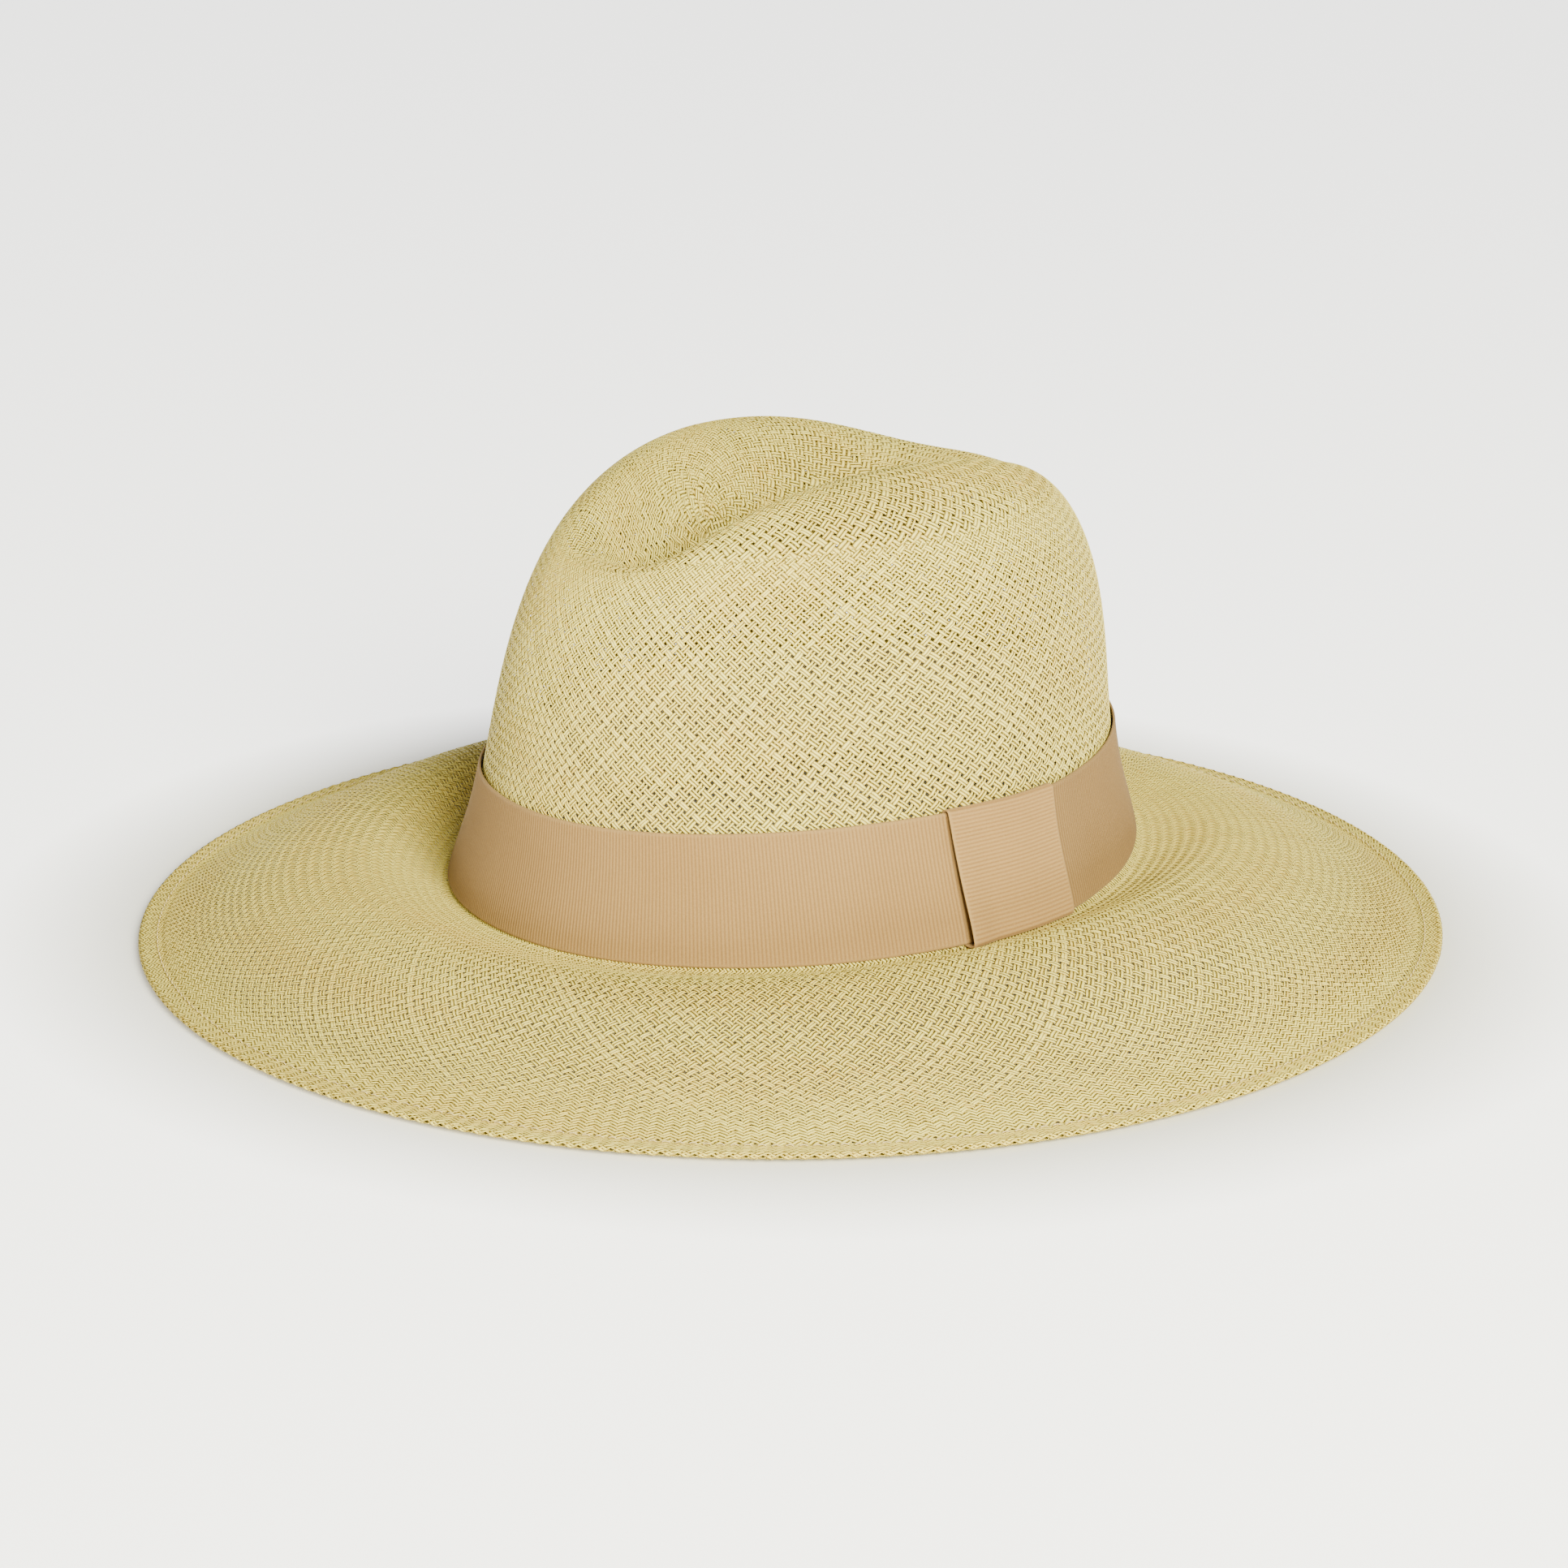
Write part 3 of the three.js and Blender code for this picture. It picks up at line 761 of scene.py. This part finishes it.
def build_brim(draw):
    marks = row_marks(BRIM_START, BRIM_END, brim_row)
    for way, letter in ((1, "a"), (-1, "b")):
        for number, chosen in enumerate(split(BRIM_STRANDS, 4), 1):
            parts = weave(BRIM_STRANDS, marks, way, chosen, brim_cover, draw)
            straw_piece(f"straw_brim_{letter}{number}", parts)


build_wall(build_top(rng), rng)
build_brim(rng)
build_rosette(rng)


# ---- ribbon and keeper ----


def outward(angle, height):
    """The wall's outward direction."""
    step = 1e-4
    around = wall_point(angle + step, height) - wall_point(angle - step, height)
    up = wall_point(angle, height + step * 0.1) - wall_point(angle, height - step * 0.1)
    normal = np.cross(around, up)
    return normal / np.linalg.norm(normal, axis=-1, keepdims=True)


def band_point(angle, height, out):
    angle, height = np.broadcast_arrays(angle, height)
    held = np.maximum(height, 0.5 * MM)
    point = wall_point(angle, held) + outward(angle, held) * np.asarray(out)[..., None]
    point[..., 2] += height - held
    return point


KEEPER_THICKNESS = 0.6 * MM
KEEPER_EASE = 12            # degrees beside the keeper where the ribbon comes back to the straw


def degrees_round(angle):
    """An angle in degrees, from -180 to 180."""
    return np.degrees((angle + math.pi) % TURN - math.pi)


def ribbon_gap(angle):
    """The ribbon's distance from the straw, which makes room for the keeper's back."""
    degrees = degrees_round(angle)
    apart = np.maximum(np.maximum(KEEPER_START - degrees, degrees - KEEPER_END), 0)
    return CLEARANCE + (KEEPER_THICKNESS + CLEARANCE) * (1 - smooth(apart / KEEPER_EASE))


RIB_PITCH = 1.0 * MM
RIB_DEPTH = 0.15 * MM
RIB_VALLEY_SHADE = (0.7, 0.62, 0.52)      # painted shade between two ribs
KEEPER_SHEEN = 1.12          # painted sheen: the keeper is painted paler than the band, as its level ribs lie across the light
PAST_KEEPER_SHADE = 0.24          # how much darker the band is painted there, as painted shade
RIBBON_THICKNESS = 0.7 * MM
RIBBON_BACK = 0.05 * MM     # gap behind the ribbon's back face
RIBBON_FOOT = 0.8 * MM      # height of its lower edge, pressed into the corner of the brim


def rib_profile(turn):
    """Height of a round rib above the valley, by its own turn."""
    return RIB_DEPTH * (0.5 + 0.5 * np.cos(turn)) ** 0.7


# Painted shade: the ribbon is painted darker in the valleys between its ribs.
def rib_shade(valley):
    return mix(1, np.array(RIB_VALLEY_SHADE), valley[..., None])


def band_shade(angle):
    """Painted shade: the band is painted darker past the keeper, where its ribs turn away from the light."""
    degrees = degrees_round(angle)
    past = smooth((degrees - KEEPER_END + 4) / 5) * smooth((100 - degrees) / 50)
    return (1 - PAST_KEEPER_SHADE * past)[..., None]


def build_ribbon():
    """Grosgrain: round ribs across its width, and a thin woven edge along each side."""
    ribs = int(skin.girth(1.86) / RIB_PITCH)
    angle = np.arange(ribs * 4)[None, :] * TURN / (ribs * 4)
    rib = rib_profile(angle * ribs)
    front = np.array([0, 0.25, 0.6, 1.1, 3, 8, 13, 18, 22, 26, 29.4, 30.7, 31.2, 31.55, 31.8]) * MM
    front = RIBBON_TOP + (front - front[-1]) * (RIBBON_TOP - RIBBON_FOOT) / (front[-1] - front[0])
    edge = np.array([-0.45, -0.12, 0.02, 0, 0, 0, 0, 0, 0, 0, 0, 0, 0.02, -0.12, -0.45]) * MM
    ribbed = np.array([0, 0.25, 0.5, 1, 1, 1, 1, 1, 1, 1, 1, 1, 0.5, 0.25, 0])
    wave = 0.12 * MM * np.cos(3 * angle + 1) + 0.08 * MM * np.cos(7 * angle)
    rows, tints = [], []
    for height, shift, share in zip(front, edge, ribbed):
        out = ribbon_gap(angle) + RIBBON_THICKNESS + shift + share * (rib - RIB_DEPTH)
        rows.append(band_point(angle, height + wave, out))
        # Painted shade in the rib valleys, and past the keeper.
        tints.append(rib_shade(share * (1 - rib / RIB_DEPTH)) * band_shade(angle))
    for height in front[::-2]:
        rows.append(band_point(angle, height + wave, ribbon_gap(angle) + RIBBON_BACK))
        # The back face carries the painted shade past the keeper too.
        tints.append(rib_shade(0 * angle) * band_shade(angle))
    points, tints = np.concatenate(rows, 0), np.concatenate(tints, 0)
    faces, uvs = grid(points)
    made = add_object("hat_ribbon_cloth", points.reshape(-1, 3), faces, RIBBON, uvs, tints.reshape(-1, 3))
    place_piece(made, "ribbon", "hat_ribbon")


KEEPER_SAMPLES = 272
KEEPER_LOOP = (0.4 * MM, 0.7 * MM)      # how far the loop passes the ribbon's lower and upper edges
KEEPER_STAND = (2.6 * MM, 0.7 * MM)     # how far its loose edge stands off, at the bottom and the top
KEEPER_LOOSE = 0.3                      # share of its width that stands off
KEEPER_FAR_STAND = 0.4 * MM             # the same at its other edge
KEEPER_EDGE = 0.012                     # share of its width over which each edge thins out


def loop_path(samples):
    """The keeper's path in (out, height): up its front, over the band, down behind it and under."""
    near = CLEARANCE + KEEPER_THICKNESS / 2
    far = 3 * CLEARANCE + 1.5 * KEEPER_THICKNESS + RIBBON_THICKNESS
    low, high = RIBBON_FOOT - KEEPER_LOOP[0], RIBBON_TOP + KEEPER_LOOP[1]
    turn = (far - near) / 2
    straight = high - low - 2 * turn
    bend = math.pi * turn
    total = 2 * (straight + bend)
    at = np.arange(samples) * total / samples
    out, height = np.zeros(samples), np.zeros(samples)
    part = [at < straight, (at >= straight) & (at < straight + bend),
            (at >= straight + bend) & (at < 2 * straight + bend), at >= 2 * straight + bend]
    out[part[0]], height[part[0]] = far, low + turn + at[part[0]]
    over = (at[part[1]] - straight) / turn
    out[part[1]], height[part[1]] = (near + far) / 2 + turn * np.cos(over), high - turn + turn * np.sin(over)
    out[part[2]], height[part[2]] = near, high - turn - (at[part[2]] - straight - bend)
    under = (at[part[3]] - 2 * straight - bend) / turn
    out[part[3]], height[part[3]] = (near + far) / 2 - turn * np.cos(under), low + turn - turn * np.sin(under)
    return out, height, total


def build_keeper():
    """The flat loop of ribbon round the band, whose ribs lie level. Its left edge stands a little off."""
    out, height, total = loop_path(KEEPER_SAMPLES)
    ribs = round(total / RIB_PITCH)
    rib = rib_profile(np.arange(KEEPER_SAMPLES) / KEEPER_SAMPLES * TURN * ribs)
    across = np.concatenate([[0, 0.004, 0.012, 0.03], np.linspace(0.08, 0.92, 15), [0.97, 0.988, 0.996, 1]])
    flat_out = np.gradient(height)
    flat_up = -np.gradient(out)
    size = np.hypot(flat_out, flat_up)
    flat_out, flat_up = flat_out / size, flat_up / size
    columns, tints = [], []
    rim = np.minimum(across, 1 - across)
    thick = KEEPER_THICKNESS / 2 * np.sqrt(np.clip(rim / KEEPER_EDGE, 0.02, 1))
    ribbed = np.clip((rim - 0.004) / 0.02, 0, 1)
    for side in (1, -1):
        order = range(len(across)) if side == 1 else range(len(across) - 2, 0, -1)
        for index in order:
            turn = math.radians(mix(KEEPER_START, KEEPER_END, across[index]))
            lift = side * thick[index] + (side == 1) * ribbed[index] * (rib - RIB_DEPTH)
            loose = smooth((out - out.min()) / (out.max() - out.min()))
            stand = mix(*KEEPER_STAND, height / RIBBON_TOP) * smooth(1 - across[index] / KEEPER_LOOSE)
            stand += KEEPER_FAR_STAND * smooth((across[index] - 0.8) / 0.2)
            here_out, here_up = out + stand * loose + flat_out * lift, height + flat_up * lift
            columns.append(band_point(np.full(KEEPER_SAMPLES, turn), here_up, here_out))
            # Painted sheen over the whole keeper, and painted shade in its rib valleys.
            tints.append(KEEPER_SHEEN * rib_shade((side == 1) * ribbed[index] * (1 - rib / RIB_DEPTH)))
    points, tints = np.stack(columns, 1), np.stack(tints, 1).reshape(-1, 3)
    faces, uvs = grid(points)
    faces, uvs = faces[:, ::-1], uvs[:, ::-1]
    made = add_object("ribbon_keeper_cloth", points.reshape(-1, 3), faces, RIBBON, uvs, tints)
    place_piece(made, "ribbon", "ribbon_keeper")


build_ribbon()
build_keeper()


# ---- threads ----


def stitches(name, centre, direction, up, length, thread, slot, *nodes):
    """Round stitches, one at each centre, that rise out of the surface and dip back into it."""
    samples = 7
    along = np.linspace(-0.5, 0.5, samples)
    rise = thread * (0.45 - 4.2 * along**2)
    path = centre[:, None] + direction[:, None] * (along * length)[None, :, None]
    path = path + up[:, None] * rise[None, :, None]
    width = np.full(path.shape[:2], thread)
    normal = np.broadcast_to(up[:, None], path.shape)
    colour = np.full(path.shape, 0.7)
    points, faces, uvs, _ = strands(path, normal, width, thread, colour, sides=6)
    made = add_object(name, points, faces, THREAD, uvs)
    return place_piece(made, slot, *nodes)


def ring_stitches(name, surface, normal, count, thread, share, slot, *nodes):
    """A row of stitches right round a surface. share is each stitch's length over the row's pitch."""
    angle = np.arange(count) * TURN / count
    centre = surface(angle)
    direction = surface(angle + 0.001) - surface(angle - 0.001)
    direction /= np.linalg.norm(direction, axis=1, keepdims=True)
    pitch = np.linalg.norm(np.roll(centre, -1, 0) - centre, axis=1).mean()
    return stitches(name, centre, direction, normal(angle), share * pitch, thread, slot, *nodes)


RIM_STITCH_INSET, RIM_STITCHES, RIM_THREAD = 4.8 * MM, 330, 0.34 * MM
BAND_STITCH_HEIGHT, BAND_STITCHES, BAND_THREAD = 5 * MM, 170, 0.4 * MM
BAND_STITCH_DEPTH = 2.15 * MM       # inwards from the straw, on the sweatband's face


def rim_surface(angle):
    """Where the rim's stitches lie."""
    x = (BRIM_HALF_WIDTH - RIM_STITCH_INSET) * np.cos(angle)
    y = (BRIM_HALF_LENGTH - RIM_STITCH_INSET) * np.sin(angle)
    return np.stack([x, y, np.full_like(x, RIM_THICKNESS + 0.02 * MM)], -1)


def straight_up(angle):
    return np.tile([0.0, 0.0, 1.0], (len(angle), 1))


def inside_surface(angle):
    """Where the sweatband's stitches lie."""
    depth = np.full_like(angle, -BAND_STITCH_DEPTH)
    return band_point(angle, np.full_like(angle, BAND_STITCH_HEIGHT), depth)


def inwards(angle):
    return -outward(angle, np.full_like(angle, BAND_STITCH_HEIGHT))


ring_stitches("brim_stitches", rim_surface, straight_up, RIM_STITCHES, RIM_THREAD, 0.62, "thread",
              "brim_stitching")
ring_stitches("sweatband_stitches", inside_surface, inwards, BAND_STITCHES, BAND_THREAD, 0.66, "thread",
              "sweatband_stitching")


TACK_LENGTH, TACK_THREAD = 2.4 * MM, 0.3 * MM


def build_tack(name, degrees, node):
    """Two crossed stitches over the ribbon's upper edge."""
    angle = math.radians(degrees) + np.array([-0.004, 0.004])
    height = np.full(2, RIBBON_TOP - 0.1 * MM)
    centre = band_point(angle, height, np.full(2, CLEARANCE + 0.55 * MM))
    up = outward(angle, height)
    gap = np.full(2, CLEARANCE)
    around = band_point(angle + 0.01, height, gap) - band_point(angle, height, gap)
    around /= np.linalg.norm(around, axis=1, keepdims=True)
    direction = straight_up(angle) + around * np.array([[0.5], [-0.5]])
    direction /= np.linalg.norm(direction, axis=1, keepdims=True)
    stitches(name, centre, direction, up, TACK_LENGTH, TACK_THREAD, "thread", node)


build_tack("ribbon_tack_stitch_right", 180, "ribbon_tack_right")
build_tack("ribbon_tack_stitch_back", 90, "ribbon_tack_back")


# ---- sweatband ----

SWEATBAND_TOP = 33 * MM


def build_sweatband():
    """The band against the forehead. Its lower end is turned up inside itself, round the reed."""
    angle = np.arange(480)[None, :] * TURN / 480
    face, back = 1.3 * MM, 2.1 * MM
    turn = back + 2.0 * MM
    thick = back - face
    round_out = np.linspace(0, math.pi, 9)[1:-1]
    outer = [(face, height * MM) for height in (32.7, 30, 26, 22, 18, 14, 10, 7, 5, 3.5, 2, 1)]
    bend = [((face + turn + thick) / 2 - (turn + thick - face) / 2 * math.cos(t),
             0.6 * MM - 1.9 * MM * math.sin(t)) for t in round_out]
    inner_up = [(turn + thick, 1 * MM), (turn + thick, 2.4 * MM), (turn + thick / 2, 2.75 * MM),
                (turn, 2.4 * MM)]
    inner_bend = [((back + turn) / 2 + (turn - back) / 2 * math.cos(t), 0.7 * MM - 1.1 * MM * math.sin(t))
                  for t in round_out]
    inner = [(back, height * MM) for height in (1, 2, 3.5, 5, 7, 10, 14, 18, 22, 26, 30, 32.7)]
    profile = outer + bend + inner_up + inner_bend + inner + [((face + back) / 2, SWEATBAND_TOP)]
    ripple = field(30, 0.2, 31)(angle, 0 * angle)
    rows = []
    for inwards, height in profile:
        sway = 0.12 * MM * ripple * smooth((height - 6 * MM) / (20 * MM)) * (inwards > face)
        rows.append(band_point(angle, height + 0 * angle, -(inwards + sway)))
    points = np.concatenate(rows, 0)
    faces, uvs = grid(points)
    made = add_object("sweatband_cloth", points.reshape(-1, 3), faces, SWEATBAND, uvs)
    place_piece(made, "sweatband", "sweatband")


REED_RADIUS = 0.6 * MM
REED_HEIGHT = 0.5 * MM
REED_DEPTH = 3.1 * MM       # of its middle, inwards from the straw


def build_reed():
    angle = np.arange(360)[None, :] * TURN / 360
    turn = (np.arange(12) / 12 * TURN)[:, None]
    height = REED_HEIGHT + REED_RADIUS * np.sin(turn)
    points = band_point(angle, height, -(REED_DEPTH + REED_RADIUS * np.cos(turn) + 0 * angle))
    faces, uvs = grid(points)
    made = add_object("sweatband_reed_cord", points.reshape(-1, 3), faces, REED, uvs)
    place_piece(made, "reed", "sweatband_reed")


TAPE_HALF_WIDTH, TAPE_HALF_LENGTH, TAPE_THICKNESS = 6 * MM, 11 * MM, 0.5 * MM
TAPE_HEIGHT = 19 * MM
TAPE_DEPTH = 2.4 * MM       # of its back, inwards from the straw
TAPE_RADIUS = 86.36 * MM    # of the crown's back, where the tape lies


def build_tape():
    """A strip of woven tape over the sweatband's join, with rounded ends."""
    rows, columns = 31, 13
    v = np.linspace(-1, 1, rows)[:, None]
    u = np.linspace(-1, 1, columns)[None, :]
    rounding = np.clip((np.abs(v) - 0.86) / 0.16, 0, 1)
    half_width = TAPE_HALF_WIDTH * np.sqrt(np.clip(1 - rounding**2, 0.05, 1))
    angle = math.pi / 2 + u * half_width / TAPE_RADIUS
    height = TAPE_HEIGHT + v * TAPE_HALF_LENGTH + 0 * u
    edge = np.clip(np.minimum(1 - np.abs(u), 1 - np.abs(v)) / 0.12, 0, 1) ** 0.5
    rib = 0.05 * MM * np.cos(v * TAPE_HALF_LENGTH / (0.8 * MM) * TURN)
    front = band_point(angle, height, -(TAPE_DEPTH + 0.05 * MM + (TAPE_THICKNESS + rib) * edge))
    back = band_point(angle, height, -(TAPE_DEPTH + 0 * edge))
    size = rows * columns
    faces_front, uvs_front = grid(front, False, False)
    faces_back, uvs_back = grid(back, False, False)
    border = np.concatenate([np.arange(columns), np.arange(1, rows) * columns + columns - 1,
                             (rows - 1) * columns + np.arange(columns - 2, -1, -1),
                             np.arange(rows - 2, 0, -1) * columns])
    after = np.roll(border, -1)
    rim_faces = np.stack([border, after, after + size, border + size], -1)
    faces = np.concatenate([faces_front[:, ::-1], faces_back + size, rim_faces])
    uvs = np.concatenate([uvs_front[:, ::-1] * (0.5, 1), uvs_back * (0.5, 1) + (0.5, 0),
                          np.zeros((len(rim_faces), 4, 2))])
    points = np.concatenate([front.reshape(-1, 3), back.reshape(-1, 3)])
    made = add_object("sweatband_tape", points, faces, TAPE, uvs)
    place_piece(made, "ribbon", "sweatband_seam_tape")


build_sweatband()
build_reed()
build_tape()

frame["nodes"]["brim_wire"].data.materials.clear()
frame["nodes"]["brim_wire"].data.materials.append(WIRE)


# ---- floor, light and camera ----


FLOOR_SIZE = 12
FLOOR_DROP = 0.5 * MM
FLOOR_GLOW = 2.4
GLOW_START, GLOW_FULL = BRIM_HALF_WIDTH, BRIM_HALF_LENGTH + 40 * MM     # distances from the hat's middle
WORLD_COLOUR = (1, 0.97, 0.84, 1)
WORLD_STRENGTH = 0.43
KEY_PLACE, KEY_SIZE, KEY_POWER, KEY_COLOUR = (1.66, -0.86, 1.0), 1.0, 150, (1, 0.97, 0.74)
KEY_AIM = (0, 0, 0.06)
AZIMUTH, ELEVATION, ROLL = (math.radians(degrees) for degrees in (43, 17.62, 0.83))
DISTANCE = 1.2
LENS = 100.84
SHIFT_RIGHT, SHIFT_UP = -3.76 * MM, 19.05 * MM      # of the camera's axis from the crown's base


def floor():
    """A white floor that glows all round the hat, as a lit backdrop does, and stays dark beneath it."""
    material, nodes, links, shader = new_material("floor", (0.9, 0.9, 0.9), 0.9, 0.1)
    place = nodes.new("ShaderNodeTexCoord")
    away = nodes.new("ShaderNodeVectorMath")
    away.operation = "LENGTH"
    links.new(place.outputs["Object"], away.inputs[0])
    glow = nodes.new("ShaderNodeMapRange")
    glow.inputs["From Min"].default_value = GLOW_START
    glow.inputs["From Max"].default_value = GLOW_FULL
    glow.inputs["To Max"].default_value = FLOOR_GLOW
    links.new(away.outputs["Value"], glow.inputs["Value"])
    shader.inputs["Emission Color"].default_value = (1, 1, 1, 1)
    links.new(glow.outputs["Result"], shader.inputs["Emission Strength"])
    bpy.ops.mesh.primitive_plane_add(size=FLOOR_SIZE, location=(0, 0, -FLOOR_DROP))
    made = bpy.context.object
    made.name = "floor"
    made.data.materials.append(material)


def world():
    made = bpy.data.worlds.new("studio")
    made.use_nodes = True
    background = made.node_tree.nodes["Background"]
    background.inputs["Color"].default_value = WORLD_COLOUR
    background.inputs["Strength"].default_value = WORLD_STRENGTH
    bpy.context.scene.world = made


def key_light():
    data = bpy.data.lights.new("key", "AREA")
    data.shape = "DISK"
    data.size = KEY_SIZE
    data.energy = KEY_POWER
    data.color = KEY_COLOUR
    made = bpy.data.objects.new("key", data)
    made.location = KEY_PLACE
    made.rotation_euler = (Vector(KEY_AIM) - Vector(KEY_PLACE)).to_track_quat("-Z", "Y").to_euler()
    bpy.context.collection.objects.link(made)


def camera():
    level = math.cos(ELEVATION)
    back = Vector((math.sin(AZIMUTH) * level, -math.cos(AZIMUTH) * level, math.sin(ELEVATION)))
    right = Vector((math.cos(AZIMUTH), math.sin(AZIMUTH), 0))
    up = back.cross(right)
    data = bpy.data.cameras.new("camera")
    data.sensor_width = 36
    data.lens = LENS
    made = bpy.data.objects.new("camera", data)
    turned = Matrix((right, up, back)).transposed().to_4x4() @ Matrix.Rotation(ROLL, 4, "Z")
    place = Vector((0, 0, CROWN_LIFT)) + back * DISTANCE + right * SHIFT_RIGHT + up * SHIFT_UP
    made.matrix_world = Matrix.Translation(place) @ turned
    bpy.context.collection.objects.link(made)
    bpy.context.scene.camera = made


floor()
world()
key_light()
camera()
